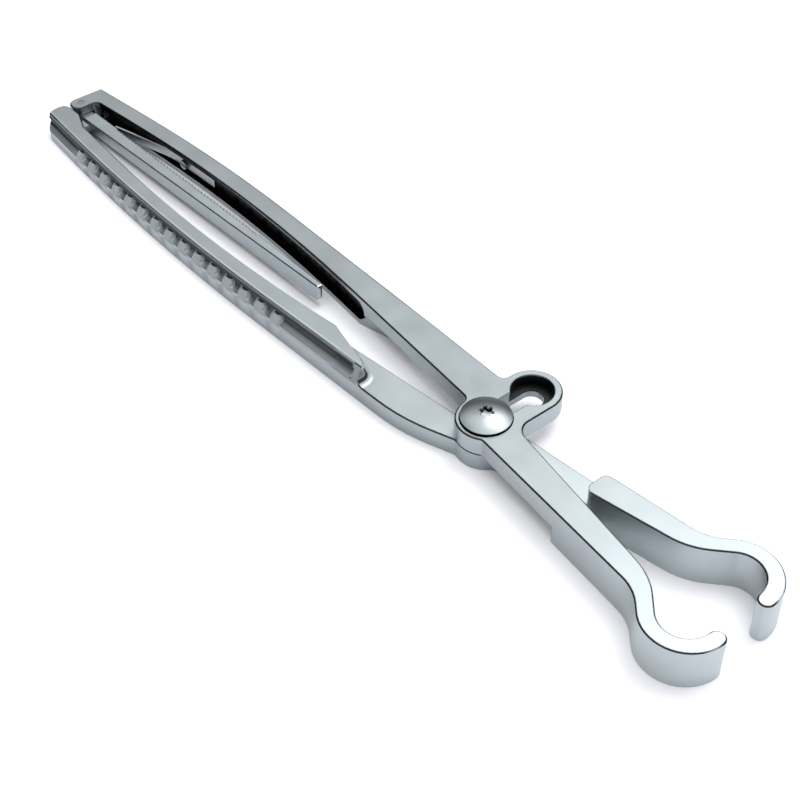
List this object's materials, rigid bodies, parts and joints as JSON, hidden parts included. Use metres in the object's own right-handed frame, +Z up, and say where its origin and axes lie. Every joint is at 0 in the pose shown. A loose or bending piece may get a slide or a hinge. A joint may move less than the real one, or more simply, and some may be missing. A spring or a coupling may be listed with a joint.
{
  "type": "spinal distraction forceps",
  "caption": "Lap-jointed steel forceps with fluted bowed handles, a sprung latch bar, a two-seat pivot ear and two inward hooked jaws for gripping spinal implants.",
  "frame": {"origin": "on the pivot axis, at the flat underside of the lower lever's boss", "axes": "+X from the pivot to the jaws, +Y to the side of the ear, +Z up along the pivot axis"},
  "size_m": [0.2544, 0.04, 0.0121],
  "materials": {
    "satin_steel": "bead-blasted satin",
    "screw_steel": "turned satin",
    "bar_steel": "satin",
    "pin_steel": "ground flush",
    "spring_steel": "polished strip"
  },
  "bodies": {
    "lower": {"lower_lever": "satin_steel", "pivot_screw": "screw_steel", "catch_pin": "pin_steel"},
    "upper": {"upper_lever": "satin_steel", "latch_pin": "pin_steel", "leaf_spring": "spring_steel", "spring_screw": "screw_steel"},
    "bar": {"latch_bar": "bar_steel"}
  },
  "joints": [
    {"name": "handles_open", "type": "hinge", "parent": "lower", "child": "upper", "pos_m": [0, 0, 0], "axis": [0, 0, -1], "range_deg": [0, 30]},
    {"name": "latch_press", "type": "hinge", "parent": "upper", "child": "bar", "pos_m": [-0.1711, -0.0007, 0.0034], "axis": [0, 0, 1], "range_deg": [0, 2.2], "stiffness_Nm_per_rad": 0.5, "springref_deg": -11.46, "deforming": ["leaf_spring"]}
  ]
}
